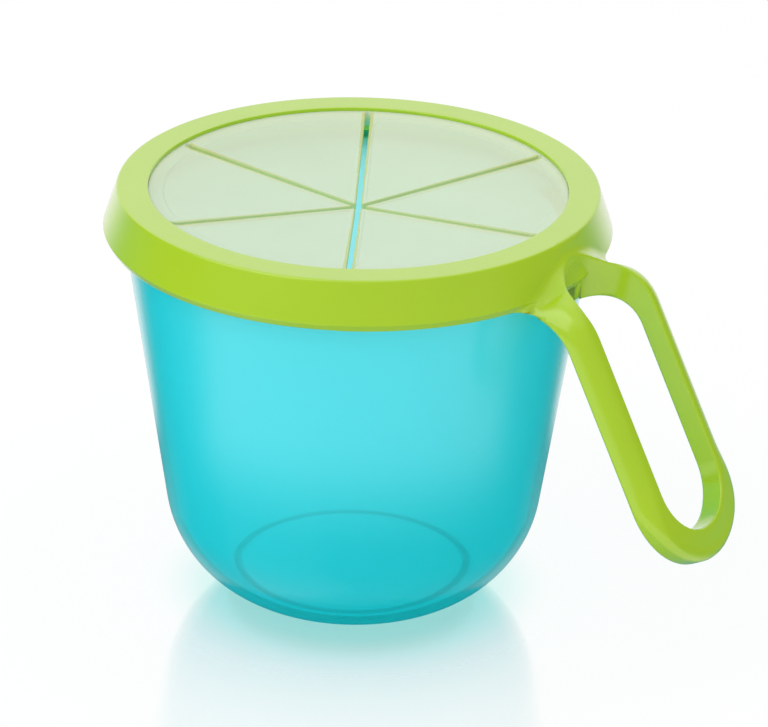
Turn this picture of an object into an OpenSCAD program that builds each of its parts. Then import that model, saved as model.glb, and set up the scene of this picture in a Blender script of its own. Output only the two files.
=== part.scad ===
// Toddler snack cup: a tapered cup, a snap-on ring lid with a loop handle
// moulded into its skirt, and a soft six-petal insert that small hands push through.
// The origin is at the centre of the base on the table, +Z is up, +X points to the handle.

/* [Cup] */
// Height of the cup from the table to its rim
cup_h = 83.8; // [70:0.1:110]
// Outside radius of the cup at its neck, under the lid
cup_neck_r = 45.9; // [42:0.1:56]
// Height of the straight neck that the lid covers
cup_neck_h = 7; // [6:0.1:9]
// Wall thickness of the cup
cup_wall = 1.7; // [1.2:0.1:2.4]
// Slope of the side wall, from upright
cup_draft = 8.6; // [6:0.1:11]
// Radius of the large curve between the wall and the base
cup_corner_r = 24.5; // [20:0.5:26]
// Outside radius of the ring that the cup stands on
cup_foot_r = 17.6; // [14:0.1:22]
// Width of the ring that the cup stands on
cup_foot_w = 2.6; // [1.6:0.1:5]
// Height of the recess under the base
cup_recess_h = 2.6; // [1:0.1:3.4]
// Height of the flat floor inside the cup
cup_floor_z = 4.6; // [4.4:0.1:7]
// Height of the bead that the lid snaps over
bead_h = 1.2; // [0.8:0.1:1.6]
// How far the bead stands out from the neck
bead_out = 0.4; // [0.2:0.05:0.6]
// Diameter of the gate mark in the middle of the floor
gate_d = 4; // [2:0.5:6]

/* [Lid ring] */
// How far the edge of the round opening lies inside the cup's neck
opening_in = 4.7; // [4.2:0.1:9]
// How far the flat top face reaches out over the cup's neck
lid_over = 1.4; // [1:0.1:4]
// How far the skirt flares out below the top face
flare = 2.7; // [2:0.1:4]
// Thickness of the top plate
lid_plate_t = 2.4; // [2:0.1:3.4]
// Height of the skirt, from the top face to the widest line
skirt_h = 8.1; // [7:0.1:10]
// Height of the turned-in lip below the widest line
lip_h = 1.4; // [1:0.1:2]
// How far the lip turns in
lip_in = 1.3; // [0.6:0.1:1.6]
// Wall thickness of the skirt
skirt_wall = 1.7; // [1.2:0.1:2]
// Radius of the rounded edge of the top face
lid_edge_r = 1.4; // [0.6:0.1:2]
// Depth of the plug that reaches inside the cup
plug_h = 3; // [2:0.1:5]
// Wall thickness of the plug
plug_wall = 1.5; // [1.2:0.1:1.6]

/* [Handle] */
// Width of the finger slot
slot_w = 20.6; // [16:0.1:26]
// Length of the finger slot along the straight bars
slot_l = 31.5; // [22:0.5:40]
// Width of each bar
bar_w = 4.9; // [3.5:0.1:7]
// Width of the bar that closes the loop
bar_end_w = 6.1; // [4:0.1:8]
// Thickness of the loop
bar_t = 4.9; // [3.5:0.1:7]
// Slope of the loop, from upright
loop_slope = 27.2; // [18:0.1:35]
// Radius of the bend on its upper side
bend_r = 14.5; // [12:0.1:18]
// How far the top of the bend lies below the lid's top face
bend_drop = 5.7; // [5:0.1:7]
// Thickness where the handle leaves the skirt
root_t = 7; // [5.5:0.1:8]
// Radius of the bend on its lower side
under_r = 10; // [7:0.5:12]
// Radius of the fillets beside the root
root_fillet = 4; // [2:0.5:8]
// Radius of the blend between the root and the skirt
saddle_r = 4.6; // [2:0.1:5]

/* [Petals] */
// Number of petals
petal_n = 6; // [6:1:6]
// Thickness of the soft insert
petal_t = 1.3; // [1:0.1:1.5]
// Distance from the edge of the opening to the line that each petal folds along
fold_in = 7.8; // [6.7:0.1:11]
// Width of the slits between the petals
slit_w = 0.9; // [0.8:0.05:1.4]
// Radius of the round relief at the outer end of each slit
relief_r = 0.8; // [0.6:0.05:1.2]
// Depth of the insert's edge below the lid's top face
insert_drop = 1; // [0.6:0.1:1.2]
// Depth of the petals' tips below the lid's top face
dish_drop = 4.5; // [3.4:0.1:6]
// Radius of the rounded tips
tip_r = 1; // [0.6:0.1:2]

/* [Fits] */
// Running gap between the cup and the lid
fit_gap = 0.3; // [0.2:0.05:0.4]
// Gap between each petal's rounded edge and the edge that carries it
fold_gap = 0.3; // [0.25:0.05:0.5]
// Gap round the insert where the lid holds it
insert_gap = 0.05; // [0.03:0.01:0.1]
// Height of the lid above the cup's rim when it is on
seat_gap = 0.1; // [0.05:0.05:0.2]

/* [Hidden] */
$fn = 96;
past = 1; // how far a cutting shape runs past the face that it cuts
lap = 0.4; // how far one shape runs into the next
sink = 0.02; // how far a flat face lies below the arc that it joins
bead_place = 0.6; // share of the neck's height at which the bead sits
rib_step = 1.6; // distance from the bead down to the rib, in bead heights
rib_reach = 0.5; // how far the rib stands in from the lip's inner edge
ledge_h = 0.8; // height and depth of the ledge under the insert
gate_h = 0.3; // height of the gate mark
bend_in = 1.4; // how far inside the skirt's widest line the bend starts
bend_run = 4; // degrees that the bend's wedge runs past its end
slot_in = 2; // how far the slot's upper end reaches inside that line
fillet_in = 0.6; // how far the side fillets bite inside that line
root_gap = 0.75; // gap between the cup and the underside of the root
saddle_drop = 0.5; // how far the blend starts below the top of the bend
bank_w = 2.4; // width of the banked edge of the insert
bank_top_w = 1; // width of the upper part of that bank
bank_top_h = 0.3; // fall of the upper part of that bank

// Cup: an arc through the foot's edge that runs straight on into the sloped wall.
shoulder_z = cup_h - cup_neck_h;
wall_run = tan(cup_draft);
arc_base = cup_neck_r - cup_corner_r / cos(cup_draft) - shoulder_z * wall_run;
foot_off = arc_base - cup_foot_r;
arc_q = 1 + wall_run * wall_run;
arc_z = (sqrt(pow(foot_off * wall_run, 2) - arc_q * (foot_off * foot_off - cup_corner_r * cup_corner_r))
    - foot_off * wall_run) / arc_q;
arc_x = arc_base + arc_z * wall_run;
join_z = arc_z - cup_corner_r * sin(cup_draft);
bead_z = shoulder_z + cup_neck_h * bead_place;

// Lid: radii outward from the cup's neck, heights from the top face down.
opening_r = cup_neck_r - opening_in;
lid_top_r = cup_neck_r + lid_over;
lid_r = lid_top_r + flare;
plate_z = cup_h + seat_gap;
lid_top_z = plate_z + lid_plate_t;
wide_z = lid_top_z - skirt_h;
lip_z = wide_z - lip_h;
lip_r = lid_r - lip_in;
skirt_a = atan((lid_r - lid_top_r) / skirt_h);
edge_x = lid_top_r - lid_edge_r * (1 - sin(skirt_a)) / cos(skirt_a);
skirt_in = skirt_wall / cos(skirt_a);
rib_r = cup_neck_r + bead_out + fit_gap;
rib_z = bead_z - bead_h * rib_step;
rib_base = lid_r - skirt_wall / 2 - rib_r - lap;
plug_r = cup_neck_r - cup_wall - fit_gap;

// Handle: both faces of the bend run straight on into the flat loop.
bend_x = lid_r - bend_in;
bend_z = lid_top_z - bend_drop - bend_r;
loop_x = bend_x + bend_r * cos(loop_slope);
loop_z = bend_z + bend_r * sin(loop_slope);
under_z = bend_z + bend_r - root_t - under_r;
under_x = loop_x - (bar_t + under_r + (under_z - loop_z) * sin(loop_slope)) / cos(loop_slope);
loop_s = (under_x - loop_x) * sin(loop_slope) - (under_z - loop_z) * cos(loop_slope);
slot_r = slot_w / 2;
loop_half = slot_r + bar_w;
loop_end_s = slot_l + slot_r + bar_end_w - loop_half;
loop_l = loop_end_s + loop_half + past;
slot_x = lid_r - slot_in + slot_r;
root_in = lid_r - skirt_wall / 2;
root_clear_r = cup_neck_r + root_gap;
fillet_y = loop_half + root_fillet;
fillet_r = lid_r - fillet_in;
fillet_x = sqrt(pow(fillet_r + root_fillet, 2) - fillet_y * fillet_y);
saddle_z = lid_top_z - bend_drop - saddle_drop;
skirt_at_saddle = lid_r - (saddle_z - wide_z) * tan(skirt_a);
saddle_x = skirt_at_saddle + saddle_r * (1 - sin(skirt_a)) / cos(skirt_a);

// Insert: every fold line lies level with the middle of the flat band.
fold_r = opening_r - fold_in;
insert_z = lid_top_z - insert_drop;
flange_z = plate_z - insert_gap;
fold_z = flange_z - petal_t / 2;
tip_z = lid_top_z - dish_drop - petal_t / 2;
petal_tilt = asin((fold_z - tip_z) / fold_r);
half_a = 180 / petal_n;
fold_half = fold_r * tan(half_a);
hold_r = plug_r - plug_wall;
ledge_z = flange_z - petal_t - insert_gap;

// Half outline of a bowl, moved inward from the cup's outside by inset.
module cup_profile(inset, floor_z, top_z) {
    wall = inset / cos(cup_draft);
    intersection() {
        translate([arc_x, arc_z]) circle(r = cup_corner_r - inset);
        translate([0, floor_z]) square([cup_neck_r, join_z - floor_z]);
    }
    translate([0, floor_z]) square([arc_x, join_z - floor_z]);
    polygon([
        [0, join_z],
        [cup_neck_r - wall - (shoulder_z - join_z) * wall_run, join_z],
        [cup_neck_r - wall, shoulder_z],
        [cup_neck_r - wall, top_z],
        [0, top_z]
    ]);
}

module cup() {
    color("darkturquoise")
    union() {
        difference() {
            rotate_extrude() cup_profile(0, 0, cup_h);
            rotate_extrude() cup_profile(cup_wall, cup_floor_z, cup_h + past);
            translate([0, 0, -past])
                cylinder(r = cup_foot_r - cup_foot_w, h = cup_recess_h + past);
        }
        // Snap bead round the neck
        rotate_extrude()
            translate([cup_neck_r, bead_z])
            polygon([
                [-cup_wall / 2, bead_h / 2], [0, bead_h / 2], [bead_out, bead_h / 6],
                [bead_out, -bead_h / 6], [0, -bead_h / 2], [-cup_wall / 2, -bead_h / 2]
            ]);
        // Gate mark on the floor
        translate([0, 0, cup_floor_z - gate_h]) cylinder(d = gate_d, h = 2 * gate_h);
    }
}

// Half section of the lid ring.
module lid_profile() {
    polygon([
        [opening_r, plate_z],
        [opening_r, lid_top_z],
        [edge_x, lid_top_z],
        [edge_x + lid_edge_r * cos(skirt_a), lid_top_z - lid_edge_r * (1 - sin(skirt_a))],
        [lid_r, wide_z],
        [lip_r, wide_z],
        [lip_r, lip_z],
        [rib_r + rib_reach, lip_z],
        [lid_r - skirt_in, wide_z],
        [lid_top_r - skirt_in + lid_plate_t * tan(skirt_a), plate_z]
    ]);
    // Rounded edge of the top face
    intersection() {
        translate([edge_x, lid_top_z - lid_edge_r]) circle(r = lid_edge_r);
        translate([edge_x - lid_edge_r, plate_z]) square([2 * lid_edge_r, lid_plate_t]);
    }
    // Rounded lower lip
    intersection() {
        translate([lip_r, wide_z]) circle(r = lip_in);
        translate([lip_r - past, lip_z]) square([lip_in + past, lip_h]);
    }
    // Plug that reaches inside the cup, and the ledge that holds the insert up
    translate([hold_r, plate_z - plug_h]) square([plug_wall, plug_h + lid_plate_t / 2]);
    translate([hold_r - ledge_h, ledge_z - ledge_h]) square([ledge_h + plug_wall / 2, ledge_h]);
    // Rib that snaps under the cup's bead
    translate([rib_r, rib_z])
        polygon([[0, bead_h / 6], [rib_base, bead_h * 0.8], [rib_base, -bead_h * 0.8], [0, -bead_h / 6]]);
}

// Side view of the handle, from the skirt round the bend and down the flat loop.
// Flat faces lie a sink below the tops of the arcs, so that the two cross cleanly.
module handle_profile() {
    difference() {
        union() {
            intersection() {
                translate([bend_x, bend_z]) circle(r = bend_r);
                translate([bend_x, bend_z]) rotate(loop_slope - bend_run) square(bend_r);
            }
            translate([bend_x - bend_r, bend_z]) square([bend_r + lap, bend_r - sink]);
            translate([loop_x, loop_z])
                rotate(loop_slope - 90)
                translate([0, -sink])
                polygon([
                    [-lap, 0],
                    [loop_l, 0],
                    [loop_l, -bar_t],
                    [loop_s + lap, -bar_t],
                    [loop_s + lap, -bar_t - under_r],
                    [-lap, -bar_t - under_r]
                ]);
        }
        translate([under_x, under_z]) circle(r = under_r);
        translate([bend_x - bend_r - past, bend_z - past])
            square([under_x - bend_x + bend_r + past + lap, under_z + under_r - bend_z + past - sink]);
    }
}

// Side view of the finger slot's straight stretch.
module slot_profile() {
    intersection() {
        translate([slot_x, 0]) square(2 * lid_r);
        translate([loop_x, loop_z])
            rotate(loop_slope - 90)
            translate([slot_l - 4 * bend_r, -2 * bend_r])
            square(4 * bend_r);
    }
}

// Plan view of the root with a concave fillet on each side.
module root_plan() {
    grip = fillet_r / (fillet_r + root_fillet);
    translate([bend_x - bend_r, -loop_half]) square([2 * bend_r + loop_x, 2 * loop_half]);
    for (side = [-1, 1]) scale([1, side]) difference() {
        polygon([
            [fillet_x, loop_half - past],
            [fillet_x, fillet_y],
            [fillet_x * grip, fillet_y * grip],
            [fillet_x * grip - 2 * past, fillet_y * grip - past],
            [fillet_x * grip - 2 * past, loop_half - past]
        ]);
        translate([fillet_x, fillet_y]) circle(r = root_fillet);
    }
}

// Blend that lifts the root into the skirt, as a ring cut to the root's plan.
module saddle() {
    intersection() {
        rotate_extrude() difference() {
            polygon([
                [saddle_x, saddle_z],
                [saddle_x - saddle_r * cos(skirt_a), saddle_z + saddle_r * (1 - sin(skirt_a))],
                [root_in - (saddle_z - wide_z) * tan(skirt_a) - lap, saddle_z + saddle_r / 2],
                [root_in, saddle_z - past],
                [saddle_x, saddle_z - past]
            ]);
            translate([saddle_x, saddle_z + saddle_r]) circle(r = saddle_r);
        }
        translate([0, 0, saddle_z - 2 * past])
            linear_extrude(saddle_r + 3 * past) root_plan();
    }
}

// Extrudes a drawing of the loop, seen square on, right through it.
module through_loop() {
    translate([loop_x, 0, loop_z])
        rotate([0, 90 - loop_slope, 0])
        translate([0, 0, -bar_t - past])
        linear_extrude(bar_t + 2 * past)
        children();
}

module handle() {
    difference() {
        union() {
            intersection() {
                rotate([90, 0, 0]) linear_extrude(3 * loop_half, center = true) handle_profile();
                union() {
                    translate([0, 0, lip_z]) linear_extrude(lid_top_z - lip_z) root_plan();
                    translate([0, -loop_half, 0]) cube([2 * lid_r, 2 * loop_half, lid_top_z]);
                }
            }
            saddle();
        }
        // Round lower end of the loop
        through_loop() difference() {
            translate([loop_end_s, -loop_half - past]) square(2 * (loop_half + past));
            translate([loop_end_s, 0]) circle(r = loop_half + sink);
        }
        // Finger slot: its top end stands upright, its lower end is square to the loop
        translate([slot_x, 0, bend_z - past]) cylinder(r = slot_r + sink, h = 2 * bend_r);
        rotate([90, 0, 0]) linear_extrude(slot_w, center = true) slot_profile();
        through_loop() translate([slot_l, 0]) circle(r = slot_r + sink);
        // Space for the cup and for the skirt's hollow
        cylinder(r = root_clear_r, h = lip_z);
        translate([0, 0, lip_z - past]) cylinder(r = lip_r - rib_reach, h = lip_h + 2 * past);
        translate([0, 0, wide_z])
            cylinder(r1 = root_in, r2 = lid_top_r - skirt_wall / 2, h = skirt_h);
    }
}

module lid() {
    color("yellowgreen")
    union() {
        rotate_extrude() lid_profile();
        handle();
    }
}

module petal_rim() {
    edge_r = opening_r - insert_gap;
    fold_edge_r = (fold_r + petal_t / 2 + fold_gap) / cos(half_a);
    color("honeydew")
    difference() {
        rotate_extrude()
            polygon([
                [fold_r, flange_z - petal_t],
                [fold_r, flange_z],
                [edge_r - bank_w, flange_z],
                [edge_r - bank_top_w, insert_z - bank_top_h],
                [edge_r, insert_z],
                [edge_r, flange_z],
                [hold_r - insert_gap, flange_z],
                [hold_r - insert_gap, flange_z - petal_t]
            ]);
        // Straight fold edges, one for each petal
        cylinder(r = fold_edge_r, h = lid_top_z + past, $fn = petal_n);
        // Round relief at the end of each slit
        for (i = [0:petal_n - 1])
            rotate(i * 2 * half_a)
            translate([fold_edge_r - relief_r / 2, 0, ledge_z - past])
            cylinder(r = relief_r, h = lid_top_z);
    }
}

// One petal; it hangs on the round edge at its outer end.
module petal(i) {
    side = slit_w / 2 / cos(half_a);
    tip_back = (slit_w / 2 + tip_r) / sin(half_a);
    tip_cut = tip_r * sin(half_a);
    color("honeydew")
    rotate((i - 0.5) * 2 * half_a)
    translate([fold_r, 0, fold_z])
    rotate([0, -petal_tilt, 0]) {
        linear_extrude(petal_t, center = true) {
            polygon([
                [0, side - fold_half],
                [0, fold_half - side],
                [tip_back - fold_r - tip_cut, tip_r * cos(half_a)],
                [tip_back - fold_r - tip_cut, -tip_r * cos(half_a)]
            ]);
            translate([tip_back - fold_r, 0]) circle(r = tip_r);
        }
        rotate([90, 0, 0])
            cylinder(r = petal_t / 2, h = 2 * (fold_half - side - relief_r / 2), center = true);
    }
}

cup();
lid();
petal_rim();
for (i = [1:petal_n])
    petal(i);
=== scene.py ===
"""Toddler snack cup: a translucent cup, a snap-on ring lid with a loop handle moulded
into its skirt, and a soft six-petal insert. Lengths are in millimetres until a mesh is made."""

import math

import bmesh
import bpy
import numpy as np
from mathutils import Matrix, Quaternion, Vector


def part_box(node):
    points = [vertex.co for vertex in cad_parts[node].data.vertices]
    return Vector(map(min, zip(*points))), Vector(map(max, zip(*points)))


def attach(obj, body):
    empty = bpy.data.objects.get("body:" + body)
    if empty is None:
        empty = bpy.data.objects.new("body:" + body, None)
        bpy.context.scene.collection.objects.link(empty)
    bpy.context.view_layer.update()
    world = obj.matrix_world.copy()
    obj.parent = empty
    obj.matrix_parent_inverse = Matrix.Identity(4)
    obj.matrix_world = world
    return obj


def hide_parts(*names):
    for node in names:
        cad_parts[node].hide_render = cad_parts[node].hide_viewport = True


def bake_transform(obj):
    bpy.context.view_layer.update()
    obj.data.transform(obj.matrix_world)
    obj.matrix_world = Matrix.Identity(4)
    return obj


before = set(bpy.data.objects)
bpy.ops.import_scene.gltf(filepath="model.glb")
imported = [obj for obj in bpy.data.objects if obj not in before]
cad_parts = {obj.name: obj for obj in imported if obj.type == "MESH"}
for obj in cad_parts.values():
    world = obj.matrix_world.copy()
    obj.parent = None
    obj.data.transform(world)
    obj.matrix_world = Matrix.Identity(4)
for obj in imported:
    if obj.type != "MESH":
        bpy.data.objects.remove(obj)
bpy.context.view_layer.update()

MM = 0.001

# ---------------------------------------------------------------- sizes from the frame


def top_corner(name):
    """The highest corner of a CAD node's box, in millimetres."""
    return np.array(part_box(name)[1]) / MM


cup_top = top_corner("cup")
lid_top = top_corner("lid")

CUP_H = cup_top[2]
LID_R = lid_top[1]
LID_TOP_Z = lid_top[2]

# Cup
BEAD_OUT = 0.4
NECK_R = cup_top[1] - BEAD_OUT
NECK_H = 7.0
SHOULDER_Z = CUP_H - NECK_H
CUP_WALL = 1.7
DRAFT = math.radians(8.6)
CORNER_R = 24.5
FOOT_R, FOOT_W = 17.6, 2.6
FOOT_SOFT, FOOT_EDGE, FOOT_RISE = 0.8, 0.2, 0.15
RECESS_H = 2.6
FLOOR_Z = 4.6
GATE_R, GATE_H, GATE_RUN = 2.0, 0.3, 0.2
GROOVE_R, GROOVE_W, GROOVE_H = 23.4, 0.5, 0.8

# Lid ring
OPENING_IN, TOP_OUT = 4.7, 1.4
OPENING_R = NECK_R - OPENING_IN
LID_TOP_R = NECK_R + TOP_OUT
PLATE_T = 2.4
PLATE_Z = LID_TOP_Z - PLATE_T

# Soft insert
PETALS = 6
HALF_ANGLE = math.pi / PETALS
INSERT_GAP = 0.05
RUBBER_T = 1.3
EDGE_DROP = 0.6
DISH_DROP = 4.5
EDGE_R = OPENING_R - INSERT_GAP
JOIN_R = 40.5
SLIT_W = 1.05
RELIEF_R = 0.5
TIP_R = 0.4

# How many points a round or a stretch has
CUP_TURN, CUP_ARC, CUP_WALL_UP, CUP_NECK_UP, CUP_RIM, CUP_FLOOR = 320, 40, 36, 6, 13, 80
RING_FINE, RING_COARSE = 150, 240
LOOP_ROOT, LOOP_BAR, LOOP_END = 60, 90, 60
BAND_SECTOR, BAND_WIDTH = 120, 14
PETAL_TIP, PETAL_LENGTH, PETAL_WIDTH, PETAL_ROUND = 12, 44, 22, 5

# ---------------------------------------------------------------- mesh helpers


def around(radius, angle, height):
    """Points at a radius and an angle about the upright axis, and at a height."""
    radius, angle, height = np.broadcast_arrays(radius, angle, height)
    return np.stack([radius * np.cos(angle), radius * np.sin(angle), height], -1)


def read(items, key):
    """One vector of each vertex or polygon, such as its normal, as the rows of an array."""
    values = np.zeros(len(items) * 3)
    items.foreach_get(key, values)
    return values.reshape(-1, 3)


def skin(name, points, wrap_rows=False):
    """Makes a closed piece from a grid of points in millimetres, rows by columns by xyz.
    Neighbouring points make quads, and each row closes on itself. With wrap_rows the last
    row joins the first. Equal points are merged, and the whole is turned the right way out
    by the sign of its volume."""
    rows, columns = points.shape[:2]
    numbers = np.arange(rows * columns).reshape(rows, columns)
    numbers = np.concatenate([numbers, numbers[:, :1]], 1)
    if wrap_rows:
        numbers = np.concatenate([numbers, numbers[:1]], 0)
    quads = np.stack(
        [numbers[:-1, :-1], numbers[1:, :-1], numbers[1:, 1:], numbers[:-1, 1:]], -1
    ).reshape(-1, 4)
    flat = points.reshape(-1, 3)
    corner = flat[quads]
    volume = np.einsum(
        "ij,ij->i", corner[:, 0], np.cross(corner[:, 1], corner[:, 2])
    ) + np.einsum("ij,ij->i", corner[:, 0], np.cross(corner[:, 2], corner[:, 3]))
    if volume.sum() < 0:
        quads = quads[:, ::-1]
    mesh = bpy.data.meshes.new(name)
    mesh.from_pydata((flat * MM).tolist(), [], quads.tolist())
    work = bmesh.new()
    work.from_mesh(mesh)
    bmesh.ops.remove_doubles(work, verts=work.verts, dist=1e-7)
    work.to_mesh(mesh)
    work.free()
    mesh.polygons.foreach_set("use_smooth", np.ones(len(mesh.polygons), bool))
    piece = bpy.data.objects.new(name, mesh)
    bpy.context.scene.collection.objects.link(piece)
    return piece


def rounded_outline(corners, step=1.0, arc_steps=8):
    """Closed outline through corners (x, y, radius). Each corner becomes an arc that touches
    both sides, and the straight stretches between arcs are divided at about the step."""
    spots = np.array(corners, float)
    at, radius = spots[:, :2], spots[:, 2]
    back = np.roll(at, 1, 0) - at
    ahead = np.roll(at, -1, 0) - at
    back /= np.linalg.norm(back, axis=1)[:, None]
    ahead /= np.linalg.norm(ahead, axis=1)[:, None]
    half = np.arccos(np.clip((back * ahead).sum(1), -1, 1)) / 2
    reach = radius / np.tan(half)
    outline = []
    for i in range(len(at)):
        if radius[i] > 0:
            middle = back[i] + ahead[i]
            centre = at[i] + middle / np.linalg.norm(middle) * radius[i] / np.sin(half[i])
            start = at[i] + back[i] * reach[i] - centre
            end = at[i] + ahead[i] * reach[i] - centre
            sweep = math.atan2(start[0] * end[1] - start[1] * end[0], start @ end)
            turn = sweep * np.linspace(0, 1, arc_steps + 1)[:, None]
            side = np.array([-start[1], start[0]])
            outline.append(centre + start * np.cos(turn) + side * np.sin(turn))
        else:
            outline.append(at[i : i + 1])
        j = (i + 1) % len(at)
        begin = at[i] + ahead[i] * reach[i]
        stop = at[j] + back[j] * reach[j]
        count = int(np.linalg.norm(stop - begin) / step)
        share = (np.arange(count) + 1)[:, None] / (count + 1)
        outline.append(begin + (stop - begin) * share)
    return np.concatenate(outline)


def smooth_share(value):
    """0 below 0, 1 above 1, and an even S between."""
    clipped = np.clip(value, 0, 1)
    return clipped * clipped * (3 - 2 * clipped)


# ---------------------------------------------------------------- materials

POLYPROPYLENE_IOR = 1.49
ELASTOMER_IOR = 1.45

# Sizes of the clouds in the colours, in millimetres
LIME_CLOUD, TURQUOISE_CLOUD, ELASTOMER_CLOUD = 22.2, 33.3, 16.7

# Painted shade in the groove round the inner floor: half its width, the height that it stays
# below, and its strength
GROOVE_SHADE_HALF, GROOVE_SHADE_TOP, GROOVE_SHADE_SHARE = 0.8, 8.0, 0.95

# Cup: heights between which the wall turns pale, partly a painted highlight, and the neck
# clears
PALE_LOW, PALE_HIGH = 22, 48
NECK_LOW, NECK_HIGH = SHOULDER_Z + 1.4, SHOULDER_Z + 2.4
# Layer Weight's blend, and its values from edge-on to square
EDGE_BLEND = 0.35
PALE_EDGE, PALE_SQUARE = 0.6, 0.1
CLOSED_EDGE, CLEAR_SQUARE = 0.7, 0.45
INNER_FACE_CLEAR = 0.9

# Insert: the shares that glow and that show through
RUBBER_GLOW, RUBBER_CLEAR = 0.15, 0.13

# The shares of the light that pass the cup's wall and the insert
WALL_PASSES, RUBBER_PASSES = 0.95, 0.5


def colour(code):
    """The linear colour of an sRGB hex code such as 'a0c030'."""
    share = np.array([int(code[i : i + 2], 16) for i in (0, 2, 4)]) / 255
    linear = np.where(share <= 0.04045, share / 12.92, ((share + 0.055) / 1.055) ** 2.4)
    return (*linear.tolist(), 1.0)


def add_node(tree, kind, inputs=None, **settings):
    """Adds one node with its settings. Each input, by its name or number, gets a value or a
    link from a socket. A node in place of a socket stands for its first output."""
    made = tree.nodes.new("ShaderNode" + kind)
    for key, value in settings.items():
        setattr(made, key, value)
    for key, value in (inputs or {}).items():
        if isinstance(value, bpy.types.Node):
            value = value.outputs[0]
        if isinstance(value, bpy.types.NodeSocket):
            tree.links.new(value, made.inputs[key])
        else:
            made.inputs[key].default_value = value
    return made


def new_material(name):
    """An empty node material, with its tree and the socket of the place on the piece."""
    made = bpy.data.materials.new(name)
    made.use_nodes = True
    tree = made.node_tree
    tree.nodes.clear()
    return made, tree, add_node(tree, "TexCoord").outputs["Object"]


def dress(piece, *finishes):
    """Gives a piece its materials, in place of any that it has."""
    piece.data.materials.clear()
    for finish in finishes:
        piece.data.materials.append(finish)


def ray_kinds(tree, *kinds):
    """1 for rays of the named kinds and 0 for all others."""
    path = add_node(tree, "LightPath")
    total = path.outputs[f"Is {kinds[0]} Ray"]
    for kind in kinds[1:]:
        ray = path.outputs[f"Is {kind} Ray"]
        total = add_node(tree, "Math", {0: total, 1: ray}, operation="MAXIMUM")
    return total


def clouded(tree, place, size, detail, first, second):
    """A colour that drifts between two shades, in clouds of about the size."""
    cloud = add_node(
        tree, "TexNoise", {"Vector": place, "Scale": 1 / (size * MM), "Detail": detail}
    )
    shades = {"Factor": cloud, "A": colour(first), "B": colour(second)}
    return add_node(tree, "Mix", shades, data_type="RGBA").outputs["Result"]


def let_light_through(tree, shader, tint, share):
    """Lets a share of the light pass a thin moulding, tinted, for shadow and diffuse rays."""
    passing = ray_kinds(tree, "Shadow", "Diffuse")
    part = add_node(tree, "Math", {0: passing, 1: share}, operation="MULTIPLY")
    clear = add_node(tree, "BsdfTransparent", {"Color": colour(tint)})
    both = add_node(tree, "MixShader", {0: part, 1: shader, 2: clear})
    add_node(tree, "OutputMaterial", {"Surface": both})


def lime_polypropylene():
    """Injection-moulded polypropylene with lime pigment, from a polished mould: a high, even
    gloss, and a colour that clouds by a shade where the melt flowed."""
    made, tree, place = new_material("lime_polypropylene_gloss")
    shader = add_node(
        tree,
        "BsdfPrincipled",
        {
            "Base Color": clouded(tree, place, LIME_CLOUD, 2.0, "9ec400", "a8cc06"),
            "Roughness": 0.28,
            "IOR": POLYPROPYLENE_IOR,
            "Coat Weight": 1.0,
            "Coat Roughness": 0.16,
        },
    )
    add_node(tree, "OutputMaterial", {"Surface": shader})
    return made


def painted_groove_shade(tree, place, height, shader):
    """The shader with a darker line painted round the inner floor, as shade where the floor
    meets
    the groove: low in the cup, where the distance from the axis is the groove's."""
    flat = add_node(tree, "VectorMath", {0: place, 1: (1, 1, 0)}, operation="MULTIPLY")
    radius = add_node(tree, "VectorMath", {0: flat}, operation="LENGTH").outputs["Value"]
    by_groove = {0: radius, 1: GROOVE_R * MM, 2: GROOVE_SHADE_HALF * MM}
    near = add_node(tree, "Math", by_groove, operation="COMPARE")
    low = add_node(tree, "Math", {0: height, 1: GROOVE_SHADE_TOP * MM}, operation="LESS_THAN")
    line = add_node(tree, "Math", {0: near, 1: low}, operation="MULTIPLY")
    part = add_node(tree, "Math", {0: line, 1: GROOVE_SHADE_SHARE}, operation="MULTIPLY")
    # A dark diffuse shader, mixed in as painted shade along the groove
    dark = add_node(tree, "BsdfDiffuse", {"Color": colour("006878")})
    return add_node(tree, "MixShader", {0: part, 1: shader, 2: dark})


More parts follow.
